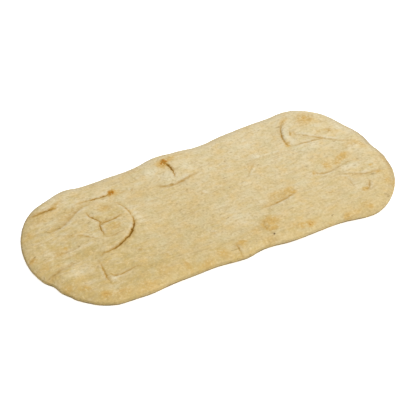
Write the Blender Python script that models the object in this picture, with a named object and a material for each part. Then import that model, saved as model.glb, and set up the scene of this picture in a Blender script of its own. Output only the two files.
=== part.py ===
"""Oval flatbread: one baked sheet of dough with a rounded rim, low blisters and pinched creases.

Lengths are in millimetres until the mesh is made. X runs along the bread, Y across it, Z up.
The origin is the centre of the plan, on the flat underside.
"""
import math

import bpy
import numpy as np
from mathutils import Vector
from mathutils.geometry import delaunay_2d_cdt

MM = 0.001

# Plan of the bread: a long oval whose two ends differ
LENGTH = 305.0
WIDTH = 142.5
HALF_WIDTH_LEFT = 64.0
HALF_WIDTH_RIGHT = 69.0
END_LEFT = 46.0
END_RIGHT = 44.0
ROUNDNESS_LEFT = 1.85
ROUNDNESS_RIGHT = 2.05

# Swells of the edge: place along it, anticlockwise from the right tip, height outwards, spread
EDGE_SWELLS = {
    "right_tip_hollow": (0.0, -1.2, 5.0),
    "right_tip": (18.0, 1.1, 8.0),
    "right_back_corner": (42.0, -4.0, 28.0),
    "right_back_hollow": (72.0, -1.0, 9.0),
    "back_right": (80.0, 2.5, 35.0),
    "back_right_bump": (93.0, 0.6, 6.0),
    "back_right_notch": (105.0, -0.6, 6.0),
    "back_right_rise": (148.0, 0.7, 18.0),
    "back_hollow": (171.0, -2.0, 10.0),
    "back_bump": (187.0, 0.7, 5.0),
    "back_notch": (204.0, -0.8, 7.0),
    "back_middle": (208.0, 3.5, 11.0),
    "back_left_rise": (268.0, 0.5, 18.0),
    "back_left": (294.0, 3.5, 9.0),
    "back_left_hollow": (310.0, -1.5, 9.0),
    "left_back": (357.0, 0.5, 47.0),
    "left_flat": (420.0, -0.4, 28.0),
    "left_notch": (420.0, -2.0, 9.0),
    "front_left": (491.0, 2.0, 15.0),
    "front_hollow": (547.0, -1.5, 13.0),
    "front_bump": (580.0, 0.8, 6.0),
    "front_middle_hollow": (601.0, -2.5, 9.0),
    "front_right_hollow": (670.0, -2.0, 25.0),
    "front_right": (687.0, 3.5, 12.0),
    "right_front_corner": (749.0, 2.0, 17.0),
}

# Section of the bread
THICKNESS = 8.0
RIM_HEIGHT = 3.6
SHOULDER = 9.0
HEEL = 4.0
RIM_PUFF = 0.35
RIM_PUFF_PLACE = 15.0
RIM_PUFF_SPREAD = 6.0

# Blisters: centre, radii along and across, height, steepness of the side
BLISTERS = {
    "left": ((-86.5, 13.0), (29.0, 27.0), 2.3, 3.0),
    "back": ((-8.5, 51.0), (24.0, 18.0), 1.5, 2.5),
    "back_left": ((-104.0, 51.0), (30.0, 9.0), 0.7, 2.0),
    "right_back": ((113.0, 46.0), (24.0, 15.0), 1.6, 2.5),
    "right_middle": ((111.0, 6.0), (26.0, 14.0), 0.9, 2.0),
    "right_front": ((121.0, -22.0), (22.0, 7.0), 1.0, 2.0),
    "front": ((46.0, -43.0), (24.0, 12.0), 0.8, 2.0),
    "front_left": ((-72.0, -54.0), (28.0, 10.0), 0.7, 2.0),
    "left_tip": ((-133.0, -30.0), (17.0, 12.0), 0.9, 2.0),
}

# Long swells of the top: height, wave length along, wave length across, phase
TOP_WAVES = (
    (0.30, 118.0, 260.0, 0.6),
    (0.22, -74.0, 96.0, 2.1),
    (0.16, 47.0, 71.0, 4.0),
)

# Creases: start, two handles and end of the curve, depth, half width, deepest place along it,
# height of the fold beside it, and the fold's distance (left of the curve is positive)
CREASES = {
    "blister_side": ((-61, 11), (-62, -6), (-82, -17), (-103, -17), 2.0, 1.3, 0.38, 1.0, -3.5),
    "blister_shoulder": ((-68, 37), (-61, 31), (-59, 18), (-61, 9), 0.9, 1.3, 0.70, 0.6, -3.0),
    "blister_back": ((-130, 26), (-105, 18), (-101, 45), (-73, 39), 0.9, 2.0, 0.50, 0.4, -6.0),
    "pucker_up": ((-86, 10), (-84, 20), (-93, 22), (-90, 31), 0.9, 1.2, 0.50, 0.3, 3.0),
    "pucker_right": ((-90, 12), (-81, 14), (-74, 13), (-66, 16), 1.0, 1.2, 0.50, 0.3, -3.0),
    "pucker_down": ((-85, 15), (-91, 10), (-87, 4), (-91, -1), 0.9, 1.2, 0.35, 0.3, 3.0),
    "left_back": ((-142, 47), (-130, 48), (-118, 49), (-108, 47), 1.3, 1.3, 0.75, 0.5, 4.0),
    "left_inner": ((-99, 44), (-85, 45), (-70, 41), (-60, 46), 1.3, 1.4, 0.70, 0.5, 4.0),
    "back_cleft": ((-12, 60), (-8, 51), (-7, 45), (-10, 35), 1.6, 1.3, 0.50, 0.4, 4.0),
    "back_foot": ((-28, 35), (-21, 25), (-2, 32), (10, 33), 1.1, 1.5, 0.50, 0.7, 4.5),
    "right_fold": ((105, 60), (94, 50), (88, 44), (89, 27), 1.9, 1.3, 0.68, 0.4, 5.0),
    "right_upper": ((96, 38), (110, 31), (120, 19), (136, 8), 1.0, 1.4, 0.50, 0.5, 4.0),
    "right_lower": ((89, 26), (99, 24), (110, 24), (120, 21), 0.8, 1.4, 0.55, 0.3, -4.0),
    "right_middle": ((90, -8), (93, -25), (117, -7), (130, -15), 1.0, 1.5, 0.35, 0.5, -4.0),
    "right_front": ((100, -22), (114, -24), (127, -38), (141, -31), 0.9, 1.4, 0.65, 0.5, 4.0),
    "right_hook": ((124, -38), (122, -41), (119, -51), (113, -46), 0.9, 1.4, 0.50, 0.3, 3.0),
    "front_long": ((26, -26), (44, -32), (50, -28), (66, -24), 1.0, 1.6, 0.65, 0.6, -5.0),
    "front_short": ((28, -40), (23, -43), (20, -53), (27, -55), 0.8, 1.5, 0.50, 0.4, 4.0),
    "front_notch": ((-5, -52), (-6, -57), (-6, -63), (-7, -70), 0.8, 1.3, 0.50, 0.4, 4.0),
    "left_front": ((-105, -19), (-105, -29), (-109, -37), (-107, -49), 1.2, 1.4, 0.60, 0.5, -4.0),
    "left_branch": ((-104, -37), (-101, -48), (-87, -38), (-77, -41), 0.9, 1.4, 0.35, 0.5, -4.0),
    "left_edge": ((-145, -20), (-137, -18), (-129, -15), (-117, -14), 1.1, 2.0, 0.45, 0.5, -5.0),
}

# Fineness of the mesh
EDGE_STATIONS = 184
TOP_RINGS = 4
UNDER_RINGS = 2
TOP_SPACING = 4.5
UNDER_SPACING = 9.5
CREASE_STEP = 3.2
CREASE_ROWS = (0.0, -1.4, 1.4, -3.4, 3.4)
CREASE_GAP = 1.1

CRUST_COLOUR = (0.70, 0.55, 0.31)


def clear_objects():
    """Removes whatever the file starts with."""
    for item in list(bpy.data.objects):
        bpy.data.objects.remove(item, do_unlink=True)


def even_steps(points, count):
    """Spaces count points evenly round a closed line."""
    loop = np.vstack([points, points[:1]])
    gaps = np.hypot(*np.diff(loop, axis=0).T)
    run = np.concatenate([[0.0], np.cumsum(gaps)])
    place = np.linspace(0.0, run[-1], count, endpoint=False)
    x = np.interp(place, run, loop[:, 0])
    y = np.interp(place, run, loop[:, 1])
    return np.column_stack([x, y]), place, run[-1]


def outward(points):
    """Outward unit normals of a closed line that runs anticlockwise."""
    along = np.roll(points, -1, axis=0) - np.roll(points, 1, axis=0)
    along /= np.hypot(along[:, 0], along[:, 1])[:, None]
    return np.column_stack([along[:, 1], -along[:, 0]])


def end_quarter(end, roundness, half_width):
    """A quarter of the plan, from the tip to where the long side begins."""
    turn = np.linspace(0.0, math.pi / 2, 300)
    x = LENGTH / 2 - end + end * np.cos(turn) ** (2.0 / roundness)
    y = half_width * np.sin(turn) ** (2.0 / roundness)
    return np.column_stack([x, y])


def edge_line(count):
    """The bread's edge in plan, anticlockwise from the right tip."""
    right = end_quarter(END_RIGHT, ROUNDNESS_RIGHT, HALF_WIDTH_RIGHT)
    left = end_quarter(END_LEFT, ROUNDNESS_LEFT, HALF_WIDTH_LEFT) * (-1.0, 1.0)
    flip = (1.0, -1.0)
    loop = np.vstack([right, left[::-1], left[1:] * flip, right[:0:-1] * flip])
    points, place, total = even_steps(loop, 1440)
    swell = np.zeros(len(points))
    for centre, height, spread in EDGE_SWELLS.values():
        away = (place - centre + total / 2) % total - total / 2
        swell += height * np.exp(-0.5 * (away / spread) ** 2)
    points = points + outward(points) * swell[:, None]
    low = points.min(axis=0)
    high = points.max(axis=0)
    points = (points - (low + high) / 2) * (np.array([LENGTH, WIDTH]) / (high - low))
    return even_steps(points, count)[0]


def curve_points(curve, count):
    """Points on a cubic curve, given its start, two handles and end."""
    start, first, second, end = np.array(curve, dtype=float)
    u = np.linspace(0.0, 1.0, count)[:, None]
    v = 1.0 - u
    return v ** 3 * start + 3 * v * v * u * first + 3 * v * u * u * second + u ** 3 * end


def left_normals(line):
    """Unit normals on the left of an open line."""
    along = np.gradient(line, axis=0)
    along /= np.hypot(along[:, 0], along[:, 1])[:, None]
    return np.column_stack([-along[:, 1], along[:, 0]])


def edge_distance(points, edge):
    """Distance of each point in from the edge, negative outside."""
    normals = outward(edge)
    result = np.empty(len(points))
    for first in range(0, len(points), 2000):
        part = points[first:first + 2000]
        apart = part[:, None, :] - edge[None, :, :]
        near = (apart ** 2).sum(axis=2).argmin(axis=1)
        rows = np.arange(len(part))
        result[first:first + 2000] = -(apart[rows, near] * normals[near]).sum(axis=1)
    return result


def crease_height(points, crease):
    """Groove of one crease and the fold beside it."""
    depth, half_width, deepest, fold, fold_place = crease[4:]
    line = curve_points(crease[:4], 60)
    normals = left_normals(line)
    apart = points[:, None, :] - line[None, :, :]
    squared = (apart ** 2).sum(axis=2)
    near = squared.argmin(axis=1)
    rows = np.arange(len(points))
    away = np.sqrt(squared[rows, near])
    side = np.sign((apart[rows, near] * normals[near]).sum(axis=1) * fold_place)
    share = near / 59.0
    strength = np.sin(math.pi * share ** (math.log(0.5) / math.log(deepest)))
    groove = depth * np.exp(-(away / half_width) ** 2)
    reach = away / abs(fold_place)
    ridge = fold * reach * np.exp(1.0 - reach) * (side > 0)
    return strength * (ridge - groove)


def blister_height(points, blister):
    """Low dome of one blister."""
    centre, radii, height, steepness = blister
    reach = ((points - centre) / radii) ** 2
    return height / (1.0 + reach.sum(axis=1) ** steepness)


def top_height(points, edge):
    """Height of the top of the bread at points in plan."""
    inset = np.clip(edge_distance(points, edge), 0.0, None)
    level = np.full(len(points), THICKNESS)
    level += RIM_PUFF * np.exp(-((inset - RIM_PUFF_PLACE) / RIM_PUFF_SPREAD) ** 2)
    for height, along, across, phase in TOP_WAVES:
        turns = points[:, 0] / along + points[:, 1] / across
        level += height * np.sin(2 * math.pi * turns + phase)
    for blister in BLISTERS.values():
        level += blister_height(points, blister)
    for crease in CREASES.values():
        level += crease_height(points, crease)
    rise = 1.0 - np.minimum(inset / SHOULDER, 1.0)
    return RIM_HEIGHT + (level - RIM_HEIGHT) * np.sqrt(1.0 - rise ** 2)


def under_height(points, edge):
    """Height of the underside: flat, turned up at the edge."""
    inset = np.clip(edge_distance(points, edge), 0.0, None)
    rise = 1.0 - np.minimum(inset / HEEL, 1.0)
    return RIM_HEIGHT * (1.0 - np.sqrt(1.0 - rise ** 2))


def keep_apart(kept, fresh, gap):
    """Adds each fresh point that is at least gap from every kept one."""
    cells = {}
    for x, y in kept:
        cells.setdefault((int(x // gap), int(y // gap)), []).append((x, y))
    added = []
    for x, y in fresh:
        column, row = int(x // gap), int(y // gap)
        near = [p for i in (-1, 0, 1) for j in (-1, 0, 1)
                for p in cells.get((column + i, row + j), ())]
        if all(math.hypot(x - a, y - b) >= gap for a, b in near):
            cells.setdefault((column, row), []).append((x, y))
            added.append((x, y))
    return kept + added


def ring_points(edge, depth, count):
    """Rings inside the edge, closest where the rim is steepest."""
    rings = []
    for step in range(1, count + 1):
        inset = depth * (1.0 - math.cos(math.pi / 2 * step / count))
        rings.append(edge - outward(edge) * inset)
    return np.vstack(rings)


def crease_points(edge):
    """Points in rows along every crease."""
    rows = []
    for crease in CREASES.values():
        fine = curve_points(crease[:4], 60)
        length = np.hypot(*np.diff(fine, axis=0).T).sum()
        line = curve_points(crease[:4], max(3, round(length / CREASE_STEP)))
        for offset in CREASE_ROWS:
            rows.append(line + left_normals(line) * offset)
    points = np.vstack(rows)
    return points[edge_distance(points, edge) > 1.6]


def grid_points(edge, spacing, inset):
    """Evenly spaced points, rows staggered, that keep inside the edge."""
    rise = spacing * math.sqrt(3) / 2
    points = []
    for row in range(int(-WIDTH / 2 / rise), int(WIDTH / 2 / rise) + 1):
        shift = spacing / 2 * (row % 2)
        for column in range(int(-LENGTH / 2 / spacing), int(LENGTH / 2 / spacing) + 1):
            points.append((column * spacing + shift, row * rise))
    points = np.array(points)
    return points[edge_distance(points, edge) > inset]


def face_triangles(points, count):
    """Joins the points of one face into triangles inside its edge."""
    flat = [Vector(p) for p in points]
    corners, _, faces, *_ = delaunay_2d_cdt(flat, [], [list(range(count))], 1, 1e-5)
    if len(corners) != len(points):
        raise ValueError("the points of a face fall on one another")
    return [tuple(face) for face in faces]


def bread_mesh():
    """Vertices and triangles of the whole bread."""
    edge = edge_line(EDGE_STATIONS)
    edge_list = [tuple(p) for p in edge]
    fine_edge = edge_line(1440)

    top = keep_apart(edge_list, crease_points(fine_edge), CREASE_GAP)
    near_creases = top[len(edge_list):]
    rings = ring_points(edge, SHOULDER, TOP_RINGS)
    rings = keep_apart(near_creases, rings, CREASE_GAP * 0.45)[len(near_creases):]
    grid = grid_points(fine_edge, TOP_SPACING, SHOULDER + TOP_SPACING / 2)
    inner = keep_apart(near_creases, grid, TOP_SPACING * 0.62)
    top = edge_list + rings + inner

    under = edge_list + [tuple(p) for p in ring_points(edge, HEEL, UNDER_RINGS)]
    under += [tuple(p) for p in grid_points(fine_edge, UNDER_SPACING, HEEL + 5.0)]

    count = len(edge_list)
    top_faces = face_triangles(top, count)
    under_faces = face_triangles(under, count)
    top_plan = np.array(top)
    under_plan = np.array(under[count:])
    top_z = top_height(top_plan, fine_edge)
    top_z[:count] = RIM_HEIGHT
    under_z = under_height(under_plan, fine_edge)
    vertices = np.vstack([np.column_stack([top_plan, top_z]),
                          np.column_stack([under_plan, under_z])])
    shift = len(top) - count
    turned = [tuple(i if i < count else i + shift for i in face[::-1]) for face in under_faces]
    return vertices * MM, top_faces + turned


def crust_material():
    """Pale dry crust."""
    material = bpy.data.materials.new("crust")
    material.use_nodes = True
    shader = material.node_tree.nodes["Principled BSDF"]
    shader.inputs["Base Color"].default_value = (*CRUST_COLOUR, 1.0)
    shader.inputs["Roughness"].default_value = 0.85
    return material


def make_bread():
    """The bread as one closed solid."""
    vertices, faces = bread_mesh()
    mesh = bpy.data.meshes.new("flatbread")
    mesh.from_pydata(vertices.tolist(), [], faces)
    mesh.shade_smooth()
    mesh.materials.append(crust_material())
    bread = bpy.data.objects.new("flatbread", mesh)
    bpy.context.scene.collection.objects.link(bread)


clear_objects()
make_bread()
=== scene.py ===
"""Looks of the oval flatbread: a fine crust with creases, stretch lines and toasted patches."""
import math

import bpy
import numpy as np
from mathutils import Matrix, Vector, noise
from mathutils.geometry import delaunay_2d_cdt


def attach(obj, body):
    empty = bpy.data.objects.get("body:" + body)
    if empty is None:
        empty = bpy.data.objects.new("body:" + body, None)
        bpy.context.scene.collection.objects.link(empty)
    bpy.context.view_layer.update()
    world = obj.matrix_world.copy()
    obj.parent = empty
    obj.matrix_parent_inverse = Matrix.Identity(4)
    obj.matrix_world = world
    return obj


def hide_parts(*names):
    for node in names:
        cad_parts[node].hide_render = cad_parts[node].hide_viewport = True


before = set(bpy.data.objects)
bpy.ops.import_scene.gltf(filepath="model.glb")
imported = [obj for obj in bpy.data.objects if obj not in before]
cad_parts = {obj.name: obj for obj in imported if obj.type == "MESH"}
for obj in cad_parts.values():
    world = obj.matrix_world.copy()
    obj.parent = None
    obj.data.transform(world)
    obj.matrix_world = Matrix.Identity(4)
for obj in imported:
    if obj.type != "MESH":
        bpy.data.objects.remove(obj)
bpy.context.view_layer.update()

MM = 0.001

# ---- form, in millimetres, as the solid has it ----
LENGTH = 305.0
WIDTH = 142.5
HALF_WIDTH_LEFT = 64.0
HALF_WIDTH_RIGHT = 69.0
END_LEFT = 46.0
END_RIGHT = 44.0
ROUNDNESS_LEFT = 1.85
ROUNDNESS_RIGHT = 2.05

# Swells of the edge: place along it, anticlockwise from the right tip, height outwards, spread
EDGE_SWELLS = {
    "right_tip_hollow": (0.0, -1.2, 5.0),
    "right_tip": (18.0, 1.1, 8.0),
    "right_back_corner": (42.0, -4.0, 28.0),
    "right_back_hollow": (72.0, -1.0, 9.0),
    "back_right": (80.0, 2.5, 35.0),
    "back_right_bump": (93.0, 0.6, 6.0),
    "back_right_notch": (105.0, -0.6, 6.0),
    "back_right_rise": (148.0, 0.7, 18.0),
    "back_hollow": (171.0, -2.0, 10.0),
    "back_bump": (187.0, 0.7, 5.0),
    "back_notch": (204.0, -0.8, 7.0),
    "back_middle": (208.0, 3.5, 11.0),
    "back_left_rise": (268.0, 0.5, 18.0),
    "back_left": (294.0, 3.5, 9.0),
    "back_left_hollow": (310.0, -1.5, 9.0),
    "left_back": (357.0, 0.5, 47.0),
    "left_flat": (420.0, -0.4, 28.0),
    "left_notch": (420.0, -2.0, 9.0),
    "front_left": (491.0, 2.0, 15.0),
    "front_hollow": (547.0, -1.5, 13.0),
    "front_bump": (580.0, 0.8, 6.0),
    "front_middle_hollow": (601.0, -2.5, 9.0),
    "front_right_hollow": (670.0, -2.0, 25.0),
    "front_right": (687.0, 3.5, 12.0),
    "right_front_corner": (749.0, 2.0, 17.0),
}

# Thickness, height of the edge, widths of the rounded rim and heel, and the puffed band inside
THICKNESS = 8.0
RIM_HEIGHT = 3.6
SHOULDER = 9.0
HEEL = 4.0
RIM_PUFF = 0.35
RIM_PUFF_PLACE = 15.0
RIM_PUFF_SPREAD = 6.0

# Blisters: centre, radii along and across, height, steepness of the side
BLISTERS = {
    "left": ((-86.5, 13.0), (29.0, 27.0), 2.3, 3.0),
    "back": ((-8.5, 51.0), (24.0, 18.0), 1.5, 2.5),
    "back_left": ((-104.0, 51.0), (30.0, 9.0), 0.7, 2.0),
    "right_back": ((113.0, 46.0), (24.0, 15.0), 1.6, 2.5),
    "right_middle": ((111.0, 6.0), (26.0, 14.0), 0.9, 2.0),
    "right_front": ((121.0, -22.0), (22.0, 7.0), 1.0, 2.0),
    "front": ((46.0, -43.0), (24.0, 12.0), 0.8, 2.0),
    "front_left": ((-72.0, -54.0), (28.0, 10.0), 0.7, 2.0),
    "left_tip": ((-133.0, -30.0), (17.0, 12.0), 0.9, 2.0),
}

# Long swells of the top: height, wave length along, wave length across, phase
TOP_WAVES = (
    (0.3, 118.0, 260.0, 0.6),
    (0.22, -74.0, 96.0, 2.1),
    (0.16, 47.0, 71.0, 4.0),
)

# Creases: start, two handles and end of the curve, depth, half width, deepest place along it,
# height of the fold beside it, the fold's distance (left of the curve is positive), stain, which
# is partly painted shade where it is wide and soft, and the half width of the stain
CREASES = {
    "blister_side": ((-61, 11), (-62, -6), (-82, -17), (-103, -17), 2.0, 0.9, 0.38, 1.0, -3.5, 1.15, 0.74),
    "blister_shoulder": ((-68, 37), (-61, 31), (-59, 18), (-61, 9), 0.9, 0.9, 0.7, 0.6, -3.0, 0.6, 0.45),
    "blister_back": ((-130, 26), (-105, 18), (-101, 45), (-73, 39), 0.9, 2.0, 0.5, 0.4, -6.0, 0.3, 1.7),
    "pucker_up": ((-86, 10), (-84, 20), (-93, 22), (-90, 31), 0.9, 0.8, 0.5, 0.3, 3.0, 0.78, 0.62),
    "pucker_right": ((-90, 12), (-81, 14), (-74, 13), (-66, 16), 1.0, 0.8, 0.5, 0.3, -3.0, 0.68, 0.72),
    "pucker_down": ((-85, 15), (-91, 10), (-87, 4), (-91, -1), 0.9, 0.8, 0.35, 0.3, 3.0, 0.78, 0.58),
    "left_back": ((-142, 47), (-130, 48), (-118, 49), (-108, 47), 1.3, 0.9, 0.75, 0.5, 4.0, 0.78, 0.8),
    "left_inner": ((-99, 44), (-85, 45), (-70, 41), (-60, 46), 1.3, 1.0, 0.7, 0.5, 4.0, 0.8, 0.58),
    "back_cleft": ((-12, 60), (-8, 51), (-7, 45), (-10, 35), 1.6, 0.9, 0.5, 0.4, 4.0, 0.95, 0.72),
    "back_foot": ((-28, 35), (-21, 25), (-2, 32), (10, 33), 1.1, 1.1, 0.5, 0.7, 4.5, 0.43, 1.1),
    "right_fold": ((105, 60), (94, 50), (88, 44), (89, 27), 1.9, 0.8, 0.68, 0.4, 5.0, 0.68, 0.62),
    "right_upper": ((96, 38), (110, 31), (120, 19), (136, 8), 1.0, 1.0, 0.5, 0.5, 4.0, 0.42, 0.55),
    "right_lower": ((89, 26), (99, 24), (110, 24), (120, 21), 0.8, 1.0, 0.55, 0.3, -4.0, 0.46, 0.55),
    "right_middle": ((90, -8), (93, -25), (117, -7), (130, -15), 1.0, 1.1, 0.35, 0.5, -4.0, 0.34, 0.75),
    "right_front": ((100, -22), (114, -24), (127, -38), (141, -31), 0.9, 1.0, 0.65, 0.5, 4.0, 0.36, 0.62),
    "right_hook": ((124, -38), (122, -41), (119, -51), (113, -46), 0.9, 0.9, 0.5, 0.3, 3.0, 0.42, 0.68),
    "front_long": ((26, -26), (44, -32), (50, -28), (66, -24), 1.0, 1.2, 0.65, 0.6, -5.0, 0.5, 1.0),
    "front_short": ((28, -40), (23, -43), (20, -53), (27, -55), 0.8, 1.1, 0.5, 0.4, 4.0, 0.16, 0.8),
    "front_notch": ((-5, -52), (-6, -57), (-6, -63), (-7, -70), 0.8, 0.9, 0.5, 0.4, 4.0, 0.42, 0.55),
    "left_front": ((-105, -19), (-105, -29), (-109, -37), (-107, -49), 1.2, 1.0, 0.6, 0.5, -4.0, 0.55, 0.8),
    "left_branch": ((-104, -37), (-101, -48), (-87, -38), (-77, -41), 0.9, 1.0, 0.35, 0.5, -4.0, 0.48, 0.75),
    "left_edge": ((-145, -20), (-137, -18), (-129, -15), (-117, -14), 1.1, 2.0, 0.45, 0.5, -5.0, 0.3, 1.5),
}

# Hairline creases, too fine for the solid, in the same terms
HAIRLINES = {
    "blister_fold": ((-110, 11), (-104, 8), (-100, 3), (-95, -1), 0.35, 0.8, 0.5, 0.2, 3.0, 0.38, 0.5),
    "blister_under": ((-91, -2), (-85, -3), (-79, -3), (-73, -2), 0.3, 0.9, 0.5, 0.2, -3.0, 0.34, 0.5),
    "blister_gap": ((-90, 6), (-96, 8), (-100, 9), (-106, 9), 0.2, 0.8, 0.5, 0.1, 3.0, 0.15, 0.5),
    "blister_tail": ((-130, 1), (-124, -1), (-117, -2), (-108, -1), 0.3, 1.0, 0.5, 0.1, 4.0, 0.28, 0.45),
    "left_link": ((-96, 45), (-97, 42), (-98, 39), (-99, 36), 0.3, 0.8, 0.5, 0.1, 3.0, 0.2, 0.5),
    "left_back_end": ((-133, 51), (-130, 49), (-127, 48), (-120, 47), 0.4, 0.9, 0.4, 0.2, 4.0, 0.55, 0.65),
    "left_stretch": ((-128, 38), (-118, 36), (-112, 40), (-100, 41), 0.25, 1.0, 0.5, 0.1, 4.0, 0.12, 0.5),
    "middle_slant": ((55, 23), (50, 19), (44, 15), (42, 9), 0.4, 1.2, 0.5, 0.1, 4.0, 0.24, 0.9),
    "middle_tick": ((0, 13), (0, 10), (1, 8), (3, 6), 0.25, 0.7, 0.5, 0.1, 3.0, 0.3, 0.5),
    "back_tick": ((-57, 41), (-54, 41), (-52, 41), (-50, 41), 0.25, 0.7, 0.5, 0.1, 3.0, 0.3, 0.5),
    "back_dash": ((-49, 39), (-47, 39), (-46, 40), (-44, 41), 0.25, 0.7, 0.5, 0.1, 3.0, 0.35, 0.5),
    "back_scratch": ((-45, 20), (-38, 22), (-35, 20), (-29, 22), 0.2, 0.8, 0.5, 0.1, 3.0, 0.15, 0.5),
    "right_shade": ((100, 45), (99, 42), (98, 40), (96, 37), 0.4, 1.2, 0.7, 0.2, 3.0, 0.3, 0.5),
    "middle_ridge": ((48, 24), (60, 27), (74, 25), (88, 22), 0.4, 1.4, 0.5, 0.3, 4.0, 0.16, 0.8),
    "right_flat": ((75, 6), (78, 6), (81, 7), (84, 6), 0.2, 0.7, 0.5, 0.1, 3.0, 0.2, 0.5),
    "right_tick": ((93, 17), (94, 16), (95, 15), (95, 14), 0.2, 0.6, 0.5, 0.1, 2.0, 0.3, 0.5),
    "right_dent": ((87, -36), (88, -37), (90, -38), (91, -37), 0.25, 0.7, 0.5, 0.1, 2.0, 0.3, 0.5),
    "right_spot": ((130, -40), (131, -42), (132, -42), (133, -41), 0.3, 0.9, 0.5, 0.1, 2.0, 0.3, 0.5),
    "right_front_end": ((131, -37), (133, -36), (135, -35), (137, -33), 0.3, 0.9, 0.5, 0.1, 3.0, 0.38, 0.65),
    "right_rise": ((126, 32), (127, 29), (128, 27), (131, 25), 0.3, 1.2, 0.4, 0.2, 3.0, 0.25, 0.5),
    "front_tick": ((-17, -33), (-15, -34), (-14, -35), (-13, -37), 0.2, 0.6, 0.5, 0.1, 2.0, 0.25, 0.5),
    "front_dent": ((-74, -24), (-73, -25), (-71, -25), (-70, -24), 0.25, 0.7, 0.5, 0.1, 2.0, 0.35, 0.5),
    "front_upper": ((20, -24), (28, -22), (35, -26), (41, -25), 0.25, 1.0, 0.5, 0.1, 3.0, 0.12, 0.5),
    "front_far": ((-58, -37), (-57, -38), (-56, -40), (-56, -42), 0.2, 0.8, 0.5, 0.1, 2.0, 0.2, 0.5),
    "left_mark": ((-151, 3), (-149, 4), (-147, 5), (-145, 6), 0.3, 0.9, 0.5, 0.1, 2.0, 0.35, 0.5),
    "left_cross": ((-135, -4), (-128, 1), (-120, -3), (-108, 0), 0.4, 1.2, 0.45, 0.3, 3.0, 0.24, 0.6),
    "left_cross_low": ((-134, -8), (-126, -6), (-120, -8), (-113, -6), 0.4, 1.2, 0.5, 0.3, 3.0, 0.14, 0.8),
    "left_cross_high": ((-125, 20), (-118, 17), (-111, 10), (-106, 8), 0.35, 1.2, 0.5, 0.3, 3.0, 0.12, 0.8),
    "right_under": ((100, -22), (116, -32), (106, -31), (110, -44), 0.3, 0.9, 0.5, 0.2, 3.0, 0.2, 0.6),
}

# All creases, in the order in which they are laid
ALL_CREASES = tuple(CREASES.values()) + tuple(HAIRLINES.values())

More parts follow.
